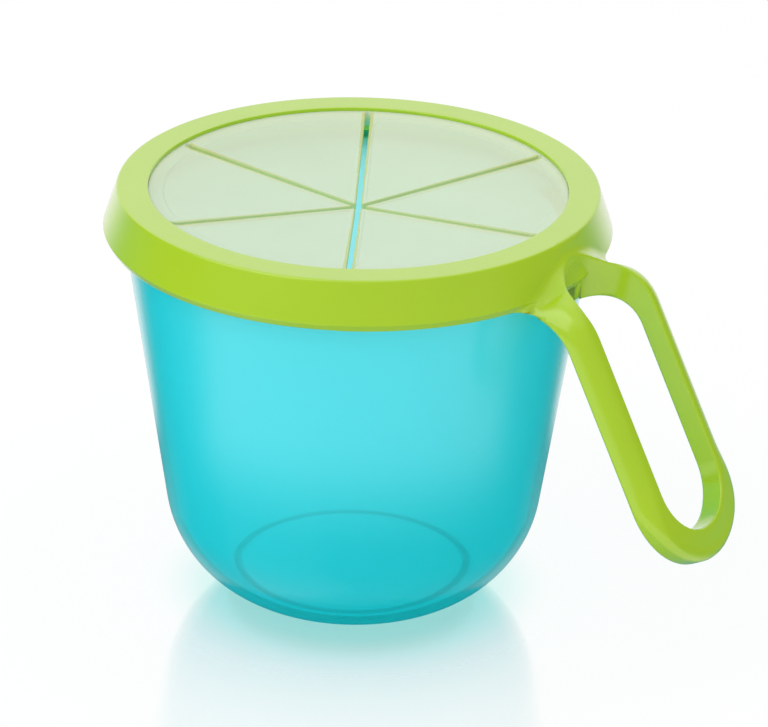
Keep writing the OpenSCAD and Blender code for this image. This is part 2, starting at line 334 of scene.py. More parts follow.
def turquoise_polypropylene(name, see_through, see_at_neck, glow, groove_shaded):
    """Unfilled polypropylene tinted turquoise, moulded thin: milky see-through, glossy. Light
    crosses more plastic where a wall is seen edge-on, so the tint is deeper there and less
    shows through, as in tinted glass. Up the wall, where it is seen square on, the colour is
    painted paler: partly the shorter path through the tint, and partly a painted highlight of
    a broad light in front. A share glows with the light that comes through the wall. From
    within the plastic a face is clear, so that the milk counts once."""
    made, tree, place = new_material(name)
    height = add_node(tree, "SeparateXYZ", {0: place}).outputs["Z"]
    edge_on = add_node(tree, "LayerWeight", {"Blend": EDGE_BLEND}).outputs["Facing"]
    up_the_wall = add_node(
        tree,
        "MapRange",
        {"Value": height, "From Min": PALE_LOW * MM, "From Max": PALE_HIGH * MM},
        interpolation_type="SMOOTHSTEP",
    )
    square = add_node(
        tree,
        "MapRange",
        {"Value": edge_on, "From Min": PALE_EDGE, "From Max": PALE_SQUARE},
        interpolation_type="SMOOTHSTEP",
    )
    # The paler colour up the wall and square on: partly the shorter path through the tint,
    # partly a painted highlight
    thin = add_node(tree, "Math", {0: up_the_wall, 1: square}, operation="MULTIPLY")
    thick = clouded(tree, place, TURQUOISE_CLOUD, 2.0, "00cad2", "00d0d8")
    shades = {"Factor": thin, "A": thick, "B": colour("46dee6")}
    shader = add_node(
        tree,
        "BsdfPrincipled",
        {
            "Base Color": add_node(tree, "Mix", shades, data_type="RGBA").outputs["Result"],
            "Roughness": 0.3,
            "IOR": POLYPROPYLENE_IOR,
            "Coat Weight": 1.0,
            "Coat Roughness": 0.2,
        },
    )
    through = add_node(tree, "BsdfTranslucent", {"Color": colour("e8fcff")})
    milky = add_node(tree, "MixShader", {0: glow, 1: shader, 2: through})
    by_height = add_node(
        tree,
        "MapRange",
        {
            "Value": height,
            "From Min": NECK_LOW * MM,
            "From Max": NECK_HIGH * MM,
            "To Min": see_through,
            "To Max": see_at_neck,
        },
        interpolation_type="SMOOTHSTEP",
    )
    open_face = add_node(
        tree,
        "MapRange",
        {"Value": edge_on, "From Min": CLOSED_EDGE, "From Max": CLEAR_SQUARE},
        interpolation_type="SMOOTHSTEP",
    )
    front = add_node(tree, "Math", {0: by_height, 1: open_face}, operation="MULTIPLY")
    behind = add_node(tree, "NewGeometry").outputs["Backfacing"]
    faces = {"Value": behind, "To Min": front, "To Max": INNER_FACE_CLEAR}
    clear = add_node(
        tree,
        "BsdfRefraction",
        {"Color": colour("70f4ff"), "Roughness": 0.03, "IOR": POLYPROPYLENE_IOR},
    )
    seen = {0: add_node(tree, "MapRange", faces), 1: milky, 2: clear}
    both = add_node(tree, "MixShader", seen)
    # The inside gets the painted shade line along the groove
    if groove_shaded:
        both = painted_groove_shade(tree, place, height, both)
    let_light_through(tree, both, "b4fcfe", WALL_PASSES)
    return made


def pale_elastomer(name, dark, light):
    """Clear thermoplastic elastomer, moulded thin: pale, milky and soft to the eye, with a
    satin surface. It lets a good part of the light pass, and a little shows through it."""
    made, tree, place = new_material(name)
    tint = clouded(tree, place, ELASTOMER_CLOUD, 3.0, dark, light)
    finish = {"Base Color": tint, "Roughness": 0.42, "IOR": ELASTOMER_IOR}
    body = add_node(tree, "BsdfPrincipled", finish)
    through = add_node(tree, "BsdfTranslucent", {"Color": tint})
    milky = add_node(tree, "MixShader", {0: RUBBER_GLOW, 1: body, 2: through})
    clear = add_node(tree, "BsdfTransparent", {"Color": colour("f4faf0")})
    behind = add_node(tree, "NewGeometry").outputs["Backfacing"]
    sight = add_node(tree, "MapRange", {"Value": behind, "To Min": RUBBER_CLEAR})
    seen = add_node(tree, "MixShader", {0: sight, 1: milky, 2: clear})
    let_light_through(tree, seen, "e8f4e4", RUBBER_PASSES)
    return made


LIME = lime_polypropylene()
TURQUOISE = turquoise_polypropylene(
    "turquoise_polypropylene_translucent",
    see_through=0.25,
    see_at_neck=0.25,
    glow=0,
    groove_shaded=False,
)
TURQUOISE_INSIDE = turquoise_polypropylene(
    "turquoise_polypropylene_inside",
    see_through=0,
    see_at_neck=0.7,
    glow=0.85,
    groove_shaded=True,
)
RUBBER = pale_elastomer("pale_elastomer_satin", "d8e2c4", "e0e8cc")
# A darker, yellower shade of the elastomer: painted shade on and beside the slit faces
RUBBER_SLIT_SHADE = pale_elastomer("pale_elastomer_slit_shade", "ccd084", "d4d890")

# ---------------------------------------------------------------- cup


def cup_shell():
    """The cup's closed outline, turned. Outside: a recessed base, the foot ring, one arc that
    runs on into the sloped wall, and the straight neck. Inside: the same moved inward by
    the wall, down to the flat floor with its groove and gate mark. The arc's centre lies a
    radius inside the wall's line, so that the two touch, and a radius from the foot's edge."""
    run = math.tan(DRAFT)
    base = NECK_R - CORNER_R / math.cos(DRAFT) - SHOULDER_Z * run
    off = base - FOOT_R
    share = 1 + run * run
    arc_z = (
        math.sqrt((off * run) ** 2 - share * (off * off - CORNER_R**2)) - off * run
    ) / share
    arc_x = base + arc_z * run

    def arc(inset, low_z):
        """Points of the big arc from the height low_z up to where the wall starts."""
        radius = CORNER_R - inset
        first = -math.asin((arc_z - low_z) / radius)
        turn = np.linspace(first, -DRAFT, CUP_ARC)
        return np.stack([arc_x + radius * np.cos(turn), arc_z + radius * np.sin(turn)], 1)

    def wall(inset, top_z):
        """Points up the sloped wall and the neck."""
        slope = inset / math.cos(DRAFT)
        join_z = arc_z - CORNER_R * math.sin(DRAFT)
        z = np.linspace(join_z, SHOULDER_Z, CUP_WALL_UP)[1:]
        x = NECK_R - slope - (SHOULDER_Z - z) * run
        up = np.linspace(SHOULDER_Z, top_z, CUP_NECK_UP)[1:]
        return np.concatenate(
            [np.stack([x, z], 1), np.stack([0 * up + NECK_R - slope, up], 1)]
        )

    lip = CUP_WALL / 2 / math.cos(DRAFT)
    turn = np.linspace(0, np.pi, CUP_RIM)
    rim = np.stack(
        [NECK_R - lip + lip * np.cos(turn), CUP_H - lip + lip * np.sin(turn)], 1
    )
    hollow_x = FOOT_R - FOOT_W
    recess = np.array([[0, RECESS_H], [hollow_x / 2, RECESS_H], [hollow_x, RECESS_H]])
    soft = FOOT_SOFT / 2
    foot = np.array([[hollow_x, soft], [hollow_x + soft, 0], [FOOT_R - FOOT_EDGE, 0]])
    gate_z = FLOOR_Z + GATE_H
    gate = np.array([[GATE_R + GATE_RUN, FLOOR_Z], [GATE_R, gate_z], [0, gate_z]])
    inner_arc = arc(CUP_WALL, FLOOR_Z)
    floor_x = np.linspace(inner_arc[0, 0], GATE_R + 2 * GATE_RUN, CUP_FLOOR)[1:]
    groove = GROOVE_H * np.exp(-(((floor_x - GROOVE_R) / GROOVE_W) ** 2))
    floor = np.stack([floor_x, FLOOR_Z - groove], 1)
    outline = np.concatenate(
        [
            recess,
            foot,
            arc(0, FOOT_RISE),
            wall(0, CUP_H - lip)[:-1],
            rim,
            wall(CUP_WALL, CUP_H - lip)[::-1][1:],
            inner_arc[::-1],
            floor,
            gate,
        ]
    )
    angle = np.linspace(0, 2 * np.pi, CUP_TURN, endpoint=False)[:, None]
    return skin("cup_shell", around(outline[:, 0], angle, outline[:, 1]), wrap_rows=True)


cup = cup_shell()
dress(cup, TURQUOISE, TURQUOISE_INSIDE)
facing = read(cup.data.polygons, "normal")
middle = read(cup.data.polygons, "center")
# The inside is every face that looks towards the axis, and the floor
hollow = (middle * facing)[:, :2].sum(1) < -1e-5
hollow |= (facing[:, 2] > 0.5) & (middle[:, 2] < CUP_H * MM / 2)
cup.data.polygons.foreach_set("material_index", hollow.astype(np.int32))
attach(cup, "cup")
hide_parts("cup")

# ---------------------------------------------------------------- lid

# Ring
SKIRT_DROP, LIP_DROP, LIP_TURN = 8.1, 1.4, 0.8
WIDE_Z = LID_TOP_Z - SKIRT_DROP
LIP_Z = WIDE_Z - LIP_DROP
LIP_R, LIP_IN_R = LID_R - LIP_TURN, 47.1
SKIRT_WALL = 1.7
SKIRT_A = math.atan((LID_R - LID_TOP_R) / SKIRT_DROP)
EDGE_ROUND = 0.5
PLUG_GAP, PLUG_WALL, PLUG_H = 0.3, 1.5, 3
PLUG_R = NECK_R - CUP_WALL - PLUG_GAP
HOLD_R = PLUG_R - PLUG_WALL

# Loop handle: the bend, the slope below it, the bar and the slot
SLOPE = math.radians(27.2)
SLOT_R = 10.25
LOOP_HALF = 15.35
BAR_T = 4.9
SLOT_S, END_S = 32.4, 33.6
BEND_IN, BEND_DROP, SLOT_IN = 1.4, 5.7, 1.2
BEND_X, BEND_R = LID_R - BEND_IN, 14.5
BEND_Z = LID_TOP_Z - BEND_DROP - BEND_R
SLOT_X = LID_R - SLOT_IN + SLOT_R
LOOP_X = BEND_X + BEND_R * math.cos(SLOPE)
LOOP_Z = BEND_Z + BEND_R * math.sin(SLOPE)
CROWN = 0.4

# Its edges: wide in front near the skirt, less so from EDGE_FROM down the loop
EDGE_WIDE, EDGE_LOSS, EDGE_FROM, EDGE_RUN = 4.1, 2.6, 29, 15
BACK_EDGE = 0.8
SLOT_EDGE_FRONT, SLOT_EDGE_BACK = 0.4, 0.7

# Its root: the underside's arc, the fall of the front and the rise of the back
UNDER_R = 10.0
UNDER_TOP_IN, UNDER_TOP_OUT = 73.0, 75.4
ROOT_END_R, ROOT_SUNK = 46.9, 0.4
HANDLE_MIN_X = 30.0
ROOT_FALL, FALL_RUN = 4.0, 5.0
FADE_BEFORE, FADE_RUN = 1.5, 11.5
BACK_RISE, RISE_RUN = 1.5, 7
FLARE_R = 10.0

# The fillet where it meets the ring, and the ledge that the ring keeps over the slot
ROOT_FILLET, SIDE_FILLET, LOW_FILLET = 4.4, 1.5, 1.2
SIDE_FROM, SIDE_RUN = 6, 12
LOW_BELOW, LOW_RUN = 4, 9
LEDGE, LEDGE_HALF, LEDGE_FADE = 3.0, 2.2, 1.0
DIVE_SLOPE, DIVE_SOFT = 0.35, 0.8


def rounded_max(a, b, radius):
    """The larger of two distances, with the edge where they meet rounded to the radius."""
    over = np.hypot(np.maximum(a + radius, 0), np.maximum(b + radius, 0))
    return np.minimum(np.maximum(a, b), -radius) + over


def filleted_min(a, b, radius):
    """The smaller of two distances, with the corner where they meet filled to the radius."""
    under = np.hypot(np.maximum(radius - a, 0), np.maximum(radius - b, 0))
    return np.maximum(np.minimum(a, b), radius) - under


def beyond_arc(x, z, centre_x, centre_z, radius, slope):
    """How far a point lies outside a side-view line that is level, then follows an arc of the
    radius about the centre, then runs straight down at the slope."""
    right, up = x - centre_x, z - centre_z
    turn = np.arctan2(up, right)
    straight = right * math.cos(slope) + up * math.sin(slope) - radius
    round_part = np.hypot(right, up) - radius
    return np.where(
        (turn > np.pi / 2) | (turn < -np.pi + slope),
        up - radius,
        np.where(turn < slope, straight, round_part),
    )


def ring_distance(point):
    """Distance outside the ring's outer faces: the flat top, the skirt's cone, the lip that
    turns in under it and the flat bottom, each a straight line beside the axis."""
    radius = np.hypot(point[..., 0], point[..., 1])
    z = point[..., 2]
    top = z - LID_TOP_Z
    skirt = (radius - LID_R) * math.cos(SKIRT_A) + (z - WIDE_Z) * math.sin(SKIRT_A)
    lip_a = math.atan((LID_R - LIP_R) / (WIDE_Z - LIP_Z))
    lip = (radius - LID_R) * math.cos(lip_a) - (z - WIDE_Z) * math.sin(lip_a)
    shell = rounded_max(top, skirt, EDGE_ROUND)
    return np.maximum(np.maximum(shell, lip), LIP_Z - z)


def loop_down(point):
    """How far down the loop a point lies, from the end of the bend."""
    x, z = point[..., 0], point[..., 2]
    return (x - LOOP_X) * math.sin(SLOPE) - (z - LOOP_Z) * math.cos(SLOPE)


def slot_depth(point):
    """How deep a point lies inside the slot: half-round at both ends, straight between."""
    x, y = point[..., 0], point[..., 1]
    down = loop_down(point)
    upper = np.where(x < SLOT_X, np.hypot(x - SLOT_X, y), np.abs(y))
    return SLOT_R - np.where(down > SLOT_S, np.hypot(down - SLOT_S, y), upper)


def handle_faces(point):
    """Distances outside the handle's front, back and outer faces. Beside the skirt the front
    falls and the back rises away from the slot, and the outer faces flare out along arcs
    that touch the ring."""
    x, y, z = point[..., 0], point[..., 1], point[..., 2]
    down = loop_down(point)
    beside = np.maximum(-slot_depth(point), 0)
    outward = smooth_share(beside / BAR_T)
    fall = ROOT_FALL * (1 - smooth_share((x - LID_R + FADE_BEFORE) / FADE_RUN))
    front = beyond_arc(x, z, BEND_X, BEND_Z, BEND_R, SLOPE)
    front = front + fall * (1 - np.exp(-beside / FALL_RUN)) + CROWN * outward
    under_z = UNDER_TOP_IN + (UNDER_TOP_OUT - UNDER_TOP_IN) * outward - UNDER_R
    under_z = under_z + BACK_RISE * smooth_share((beside - BAR_T) / RISE_RUN)
    back_at = LOOP_X * math.cos(SLOPE) + LOOP_Z * math.sin(SLOPE) - BAR_T
    under_x = (back_at - UNDER_R - under_z * math.sin(SLOPE)) / math.cos(SLOPE)
    back = -beyond_arc(x, z, under_x, under_z, UNDER_R, SLOPE)
    around_end = np.where(down > END_S, np.hypot(down - END_S, y), np.abs(y)) - LOOP_HALF
    flare_y = LOOP_HALF + FLARE_R
    flare_x = math.sqrt((LID_R + FLARE_R) ** 2 - flare_y**2)
    flare = FLARE_R - np.hypot(x - flare_x, np.minimum(np.abs(y) - flare_y, 0))
    flare = flare + np.maximum(np.abs(y) - flare_y, 0)
    return front, back, np.where(x < flare_x, flare, around_end)


def cut_slot(solid, point):
    """A solid's distance once the slot is cut through it, with a crisp edge in front."""
    front, back, _ = handle_faces(point)
    edge = np.where(front > back, SLOT_EDGE_FRONT, SLOT_EDGE_BACK)
    return rounded_max(solid, slot_depth(point), edge)


def plate_distance(point):
    """Distance outside the handle before its slot is cut: a wide round edge in front, less
    wide at the loop's end."""
    front, back, outer = handle_faces(point)
    edge = EDGE_WIDE - EDGE_LOSS * smooth_share((loop_down(point) - EDGE_FROM) / EDGE_RUN)
    plate = rounded_max(rounded_max(front, outer, edge), back, BACK_EDGE)
    return np.maximum(plate, HANDLE_MIN_X - point[..., 0])


def lid_distance(point):
    """Distance outside the ring and its handle together, with a fillet where they meet that
    is small under the lip and large above it. The slot cuts the fillet, not the ring."""
    lift = smooth_share((point[..., 2] - LIP_Z + LOW_BELOW) / LOW_RUN)
    aside = smooth_share((np.abs(point[..., 1]) - SIDE_FROM) / SIDE_RUN)
    high = ROOT_FILLET - (ROOT_FILLET - SIDE_FILLET) * aside
    fillet = LOW_FILLET + (high - LOW_FILLET) * lift
    ring = ring_distance(point)
    joined = filleted_min(ring, plate_distance(point), fillet)
    return np.minimum(ring, cut_slot(joined, point))


def ring_share(point):
    """Above 0 where the handle's skin is the visible one, below 0 where the ring's is: the
    two meet halfway round the fillet, and the ring keeps the narrow ledge over the slot."""
    ledge = LEDGE * (1 - smooth_share((np.abs(point[..., 1]) - LEDGE_HALF) / LEDGE_FADE))
    handle = cut_slot(plate_distance(point), point)
    return ring_distance(point) - handle - ledge


def dive(amount):
    """How deep a skin runs under the other one, past the line where they meet."""
    past = np.maximum(amount, 0)
    return DIVE_SLOPE * past * past / (past + DIVE_SOFT)


def first_exit(start, heading, outside, reach):
    """How far each point travels along its heading until it is outside, within the reach.
    The first sample outside is found, and the stretch before it is halved until it is
    exact."""
    samples, halvings = 64, 14
    steps = np.linspace(0, reach, samples)
    values = np.stack([outside(start + heading * step) > 0 for step in steps])
    found = values.argmax(0)
    found[~values.any(0)] = samples - 1
    high = steps[found]
    low = steps[np.maximum(found - 1, 0)]
    for _ in range(halvings):
        middle = (low + high) / 2
        out = outside(start + heading * middle[..., None]) > 0
        high, low = np.where(out, middle, high), np.where(out, low, middle)
    return (low + high) / 2


def face_slopes(piece, chosen):
    """Gives the chosen vertices the true slope of the lid's surface, which is how fast the
    distance outside it grows across a small step along each axis. A vertex whose own normal
    is far from that slope lies on an inner face, and keeps its own."""
    mesh = piece.data
    spot = read(mesh.vertices, "co") / MM
    normal = read(mesh.vertex_normals, "vector")
    shift = 0.02 * np.eye(3)
    slope = np.stack(
        [lid_distance(spot + step) - lid_distance(spot - step) for step in shift], -1
    )
    slope /= np.linalg.norm(slope, axis=1)[:, None] + 1e-12
    use = chosen(spot) & ((slope * normal).sum(1) > 0.5)
    normal[use] = slope[use]
    mesh.normals_split_custom_set_from_vertices(normal.tolist())


def ring_skin():
    """The ring: a closed outline turned about the axis, closer by the handle. Points on its
    outer faces move out along the outline's slope to the shape shared with the handle."""
    skirt_in = SKIRT_WALL / math.cos(SKIRT_A)
    under_top_r = LID_TOP_R - skirt_in + PLATE_T * math.tan(SKIRT_A)
    outline = rounded_outline(
        [
            (OPENING_R, LID_TOP_Z, 0.25),
            (LID_TOP_R, LID_TOP_Z, EDGE_ROUND),
            (LID_R, WIDE_Z, 0.25),
            (LIP_R, LIP_Z, 0.45),
            (LIP_IN_R, LIP_Z, 0.2),
            (LID_R - skirt_in, WIDE_Z, 0.3),
            (under_top_r, PLATE_Z, 0.5),
            (PLUG_R, PLATE_Z, 0),
            (PLUG_R, PLATE_Z - PLUG_H, 0.3),
            (HOLD_R, PLATE_Z - PLUG_H, 0.3),
            (HOLD_R, PLATE_Z, 0),
            (OPENING_R, PLATE_Z, 0.1),
        ],
        step=0.45,
        arc_steps=5,
    )
    by_handle, back_there = math.radians(30), math.radians(330)
    fine = np.linspace(-by_handle, by_handle, RING_FINE, endpoint=False)
    coarse = np.linspace(by_handle, back_there, RING_COARSE, endpoint=False)
    angle = np.concatenate([fine, coarse])[:, None]
    along = np.roll(outline, -1, 0) - np.roll(outline, 1, 0)
    along /= np.linalg.norm(along, axis=1)[:, None]
    slope_r, slope_z = -along[:, 1], along[:, 0]
    if slope_z[outline[:, 1].argmax()] < 0:
        slope_r, slope_z = -slope_r, -slope_z
    points = around(outline[:, 0], angle, outline[:, 1])
    heading = around(slope_r, angle, slope_z)
    merge, skin_deep, level = ROOT_FILLET + 2.4, -0.3, 0.999
    near = (plate_distance(points) < merge) & (ring_distance(points) > skin_deep)
    near &= heading[..., 2] < level

    def outside(spot):
        """Distance outside the shared shape, or deeper where the handle's skin shows."""
        return lid_distance(spot) + dive(ring_share(spot))

    moved = first_exit(points[near], heading[near], outside, reach=8)
    points[near] += heading[near] * moved[:, None]
    piece = skin("lid_ring", points, wrap_rows=True)
    face_slopes(piece, lambda spot: plate_distance(spot) < ROOT_FILLET + 3)
    return piece


def loop_path():
    """Points along the middle of the bars, from the skirt down one side, round the end and
    back up the other. In plan it starts on a circle about the slot's upper end. Each point
    has a distance s along the loop, 0 where the bend ends, and a y, and the bend and the
    slope turn s into x and z. The middle starts sunk, and closer to the slot, inside the
    root. Also gives the tilt of the loop's face, how far each point is sunk, and how far it
    is from the slot."""
    mid_r = BEND_R - BAR_T / 2
    across = SLOT_R + BAR_T / 2
    flat_s = -(math.pi / 2 - SLOPE) * mid_r
    first, spread_turn, sunk_turn = 0.3, 0.75, 1.1
    first_half, first_sunk = 1.0, 2.6
    turn = np.linspace(first, math.pi / 2, LOOP_ROOT)
    spread = smooth_share((turn - first) / spread_turn)
    beside = SLOT_R + first_half + (BAR_T / 2 - first_half) * spread
    plan_x = SLOT_X - beside * np.cos(turn)
    plan_y = beside * np.sin(turn)
    share = np.clip((plan_x - BEND_X) / mid_r, 0, 1)
    curve_s = np.where(
        plan_x < BEND_X,
        flat_s - (BEND_X - plan_x),
        -(np.arccos(share) - SLOPE) * mid_r,
    )
    end_s = (SLOT_S + END_S) / 2
    straight_s = np.linspace(curve_s[-1], end_s, LOOP_BAR)[1:]
    swing = np.linspace(0, math.pi / 2, LOOP_END)[1:]
    sunk = np.zeros(len(turn) + len(straight_s) + len(swing))
    sunk[: len(turn)] = first_sunk * (1 - smooth_share((turn - first) / sunk_turn))
    s = np.concatenate([curve_s, straight_s, end_s + across * np.sin(swing)])
    y = np.concatenate([plan_y, 0 * straight_s + across, across * np.cos(swing)])
    sunk = np.concatenate([sunk, sunk[-2::-1]])
    s = np.concatenate([s, s[-2::-1]])
    y = np.concatenate([y, -y[-2::-1]])
    tilt = np.clip(SLOPE - np.minimum(s, 0) / mid_r, SLOPE, math.pi / 2)
    flat = np.minimum(s - flat_s, 0)
    down = np.maximum(s, 0)
    x = BEND_X + mid_r * np.cos(tilt) + flat + down * math.sin(SLOPE)
    z = BEND_Z + mid_r * np.sin(tilt) - down * math.cos(SLOPE) - sunk
    slot_side = np.full(len(s), BAR_T / 2)
    slot_side[: len(turn)] = beside - SLOT_R
    slot_side[-len(turn) :] = (beside - SLOT_R)[::-1]
    return np.stack([x, y, z], 1), tilt, sunk, slot_side


def handle_skin():
    """The loop: a bar's outline carried along the middle of the bars, square to it. Each
    point goes out from the middle to the shared shape."""
    middle, tilt, sunk, slot_side = loop_path()
    ahead = np.gradient(middle, axis=0)
    ahead /= np.linalg.norm(ahead, axis=1)[:, None]
    up = np.stack([np.cos(tilt), 0 * tilt, np.sin(tilt)], 1)
    up -= ahead * (up * ahead).sum(1)[:, None]
    up /= np.linalg.norm(up, axis=1)[:, None]
    outward = np.cross(up, ahead)
    half = BAR_T / 2
    bar = rounded_outline(
        [(-1, 1, 0.16), (1, 1, 0.9), (1, -1, 0.4), (-1, -1, 0.28)], step=0.17, arc_steps=9
    )
    root_more, root_run = 2.7, 8
    above = half + sunk
    in_root = 1 - smooth_share((middle[:, 0] - LID_R) / root_run)
    below = half - sunk + root_more * in_root
    across_by = np.where(bar[:, 0] < 0, slot_side[:, None], half) * bar[:, 0]
    up_by = np.where(bar[:, 1] > 0, above[:, None], below[:, None]) * bar[:, 1]
    heading = outward[:, None] * across_by[..., None] + up[:, None] * up_by[..., None]
    heading /= np.linalg.norm(heading, axis=-1)[..., None]
    start = np.repeat(middle[:, None], len(bar), 1)

    def outside(spot):
        """Distance outside the shared shape, or deeper where the ring's skin shows. The bar
        ends inside the ring's material, a little short of its hollow."""
        radius, z = np.hypot(spot[..., 0], spot[..., 1]), spot[..., 2]
        skirt = (radius - LID_R) * math.cos(SKIRT_A) + (z - WIDE_Z) * math.sin(SKIRT_A)
        hollow = np.maximum(skirt + SKIRT_WALL, radius - ROOT_END_R)
        hollow = np.maximum(hollow, z - PLATE_Z)
        return np.maximum(lid_distance(spot) + dive(-ring_share(spot)), ROOT_SUNK - hollow)

    points = start + heading * first_exit(start, heading, outside, reach=12)[..., None]
    ends = start[[0, -1]]
    points = np.concatenate([ends[:1], points, ends[1:]])
    piece = skin("lid_handle", points)
    face_slopes(piece, lambda spot: ring_share(spot) > -0.5)
    return piece


for piece in (ring_skin(), handle_skin()):
    dress(piece, LIME)
    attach(piece, "lid")
    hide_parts("lid")

# ---------------------------------------------------------------- soft insert

EDGE_Z = LID_TOP_Z - EDGE_DROP
BANK_IN, BANK_OVER, BANK_H = 38.2, 0.8, 0.6
TIP_Z = LID_TOP_Z - DISH_DROP
DISH_SLOPE = (EDGE_Z - BANK_H - TIP_Z) / BANK_IN


def dish_top(radius):
    """Height of the insert's upper face: a shallow cone, then a bank up to its edge."""
    bank = BANK_H * smooth_share((radius - BANK_IN) / (EDGE_R + BANK_OVER - BANK_IN))
    return TIP_Z + DISH_SLOPE * np.minimum(radius, BANK_IN) + bank


def insert_band():
    """The part of the insert that stays put: a ring whose upper face follows the dish. Its
    inner edge is a circle with a half-round relief at the end of each slit, where the
    points crowd together as a power of their distance."""
    half = np.linspace(-1, 1, BAND_SECTOR, endpoint=False)
    crowding = 2.2
    spread = HALF_ANGLE * np.sign(half) * np.abs(half) ** crowding
    angle = (spread[None] + 2 * HALF_ANGLE * np.arange(PETALS)[:, None]).ravel()
    aside = JOIN_R * np.abs(np.tile(spread, PETALS))
    inner = JOIN_R + np.sqrt(np.maximum(RELIEF_R**2 - aside**2, 0))
    share = np.linspace(0, 1, BAND_WIDTH)
    radius = inner[:, None] + (EDGE_R - inner)[:, None] * share
    top = dish_top(radius)
    low = np.minimum(top, PLATE_Z) - RUBBER_T
    radius = np.concatenate([radius, radius[:, ::-1]], 1)
    height = np.concatenate([top, low[:, ::-1]], 1)
    return skin("insert_band", around(radius, angle[:, None], height), wrap_rows=True)


# Petals: the field let into the upper face, the rounding along a cut, the tuck into the
# band, and the width near a slit that takes the darker colour of painted shade
FIELD_IN, FIELD_STEP, FIELD_CORNER, FIELD_RUN = 0.9, 0.14, 3.0, 0.35
CUT_SOFT = 0.18
TUCK, TUCK_R = 0.15, 0.3
SLIT_SHADE_WIDTH, SLIT_SHADE_SPREAD = 0.25, 0.45

# How far in from a petal's edge its upper face has points
BORDER = np.array([0, 0.15, 0.3, 0.4, 0.5, 0.6, 0.7, 0.8, 0.9, 1.1, 1.6, 2.4])


def petal_middle(number):
    """The direction of a petal's middle line."""
    return (2 * number - 1) * HALF_ANGLE


def petal_section(width, thick):
    """How far aside, and how far above the middle, each point across a petal lies: the upper
    face, with its points close together near the edges, one rounded side, and then the
    same turned half a turn."""
    soft = np.minimum(CUT_SOFT, width)
    inside = np.linspace(-1, 1, PETAL_WIDTH)[1:-1]
    arc = np.linspace(0, np.pi / 2, PETAL_ROUND)
    share = np.concatenate([0 * BORDER - 1, inside, 0 * BORDER + 1])
    inset = np.concatenate([BORDER, 0 * inside + BORDER[-1], BORDER[::-1]])
    reach = np.maximum(width - soft, 0)
    flat = share * np.maximum(reach - inset, 0)
    away = np.concatenate(
        [flat, reach + soft * np.sin(arc), reach + soft * np.cos(arc)], 1
    )
    lift = thick - soft + soft * np.concatenate([0 * share + 1, np.cos(arc), 0 * arc])
    lift[:, -PETAL_ROUND:] = -(thick - soft) - soft * np.sin(arc)
    return np.concatenate([away, -away], 1), np.concatenate([lift, -lift], 1)


def petal(number):
    """One petal: a rounded thin section, as wide as the sector between two slits, carried
    from the rounded tip out to the band, which it enters a little thinner. Its upper face
    follows the dish, and a shallow field with round corners is let into it. Faces close to
    a slit take a darker, yellower colour, painted shade in the slit, over a little more of
    the width further out."""
    middle = petal_middle(number)
    tip_at = (SLIT_W / 2 + TIP_R) / math.sin(HALF_ANGLE)
    near = tip_at - TIP_R
    tangent = tip_at * math.cos(HALF_ANGLE)
    fine_from = BANK_IN - 4
    radius = np.concatenate(
        [
            near + (tangent - near) * np.linspace(0, 1, PETAL_TIP, endpoint=False) ** 2,
            np.linspace(tangent, fine_from, PETAL_LENGTH, endpoint=False),
            np.linspace(fine_from, JOIN_R, PETAL_LENGTH),
            [JOIN_R + TUCK_R],
        ]
    )
    on_tip = np.arccos(
        np.clip((radius**2 + tip_at**2 - TIP_R**2) / (2 * radius * tip_at), -1, 1)
    )
    on_side = HALF_ANGLE - np.arcsin(SLIT_W / 2 / radius)
    width = (radius * np.where(radius < tangent, on_tip, on_side))[:, None]
    radius = radius[:, None]
    thick = np.where(radius > JOIN_R, RUBBER_T / 2 - TUCK, RUBBER_T / 2)
    away, lift = petal_section(width, thick)
    edge = width - np.abs(away)
    outside = rounded_max(radius - BANK_IN, FIELD_IN - edge, FIELD_CORNER)
    step = FIELD_STEP * smooth_share(outside / FIELD_RUN + 0.5) * (lift > 0)
    height = dish_top(radius) - RUBBER_T / 2 - FIELD_STEP + lift + step
    piece = skin(f"petal_skin_{number}", around(radius, middle + away / radius, height))
    dress(piece, RUBBER, RUBBER_SLIT_SHADE)
    spot = read(piece.data.polygons, "center")[:, :2] / MM
    from_axis = np.hypot(spot[:, 0], spot[:, 1])
    off = np.abs(spot @ np.array([-math.sin(middle), math.cos(middle)]))
    along = spot @ np.array([math.cos(middle), math.sin(middle)])
    gap = (along * math.sin(HALF_ANGLE) - off * math.cos(HALF_ANGLE)) - SLIT_W / 2
    # Faces near a slit are given the painted shade
    cut = gap < SLIT_SHADE_WIDTH + SLIT_SHADE_SPREAD * from_axis / EDGE_R
    piece.data.polygons.foreach_set("material_index", cut.astype(np.int32))
    return piece


band = insert_band()
dress(band, RUBBER)
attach(band, "lid")
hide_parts("petal_rim")

for number in range(1, PETALS + 1):
    piece = petal(number)
    middle = petal_middle(number)
    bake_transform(piece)
    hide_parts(f"petal_{number}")

# ---------------------------------------------------------------- floor, light and camera

VIEW_TURN = math.radians(32)
VIEW_RISE = math.radians(24.25)
VIEW_ROLL = math.radians(1.14)
VIEW_REACH = 1091.7
VIEW_LENS = 257.8
AIM_ASIDE, AIM_Z = 5.66, 48.19

# The room's white ends, in front and behind: the cosines at which each starts and is full
ROOM_ENDS = ((0.08, 0.5), (-0.5, -0.85))
ROOM_FRONT, ROOM_TOP, ROOM_SIDES = 0.3, 0.7, 0.12
CEILING_LOW, CEILING_HIGH = 0.5, 0.9
ROOM_LIGHT = 0.95

# Floor: how far from the axis each of its shades starts and is full, in millimetres
FLOOR_HALF = 3000.0
TINT_IN, TINT_OUT = 24, 41
# In a reflection the floor's white is left out near the cup, a painted shadow, and where it is
# dim a cyan glow is painted
DIM_IN, DIM_OUT = 74, 100
DIM_GLOW = 0.45
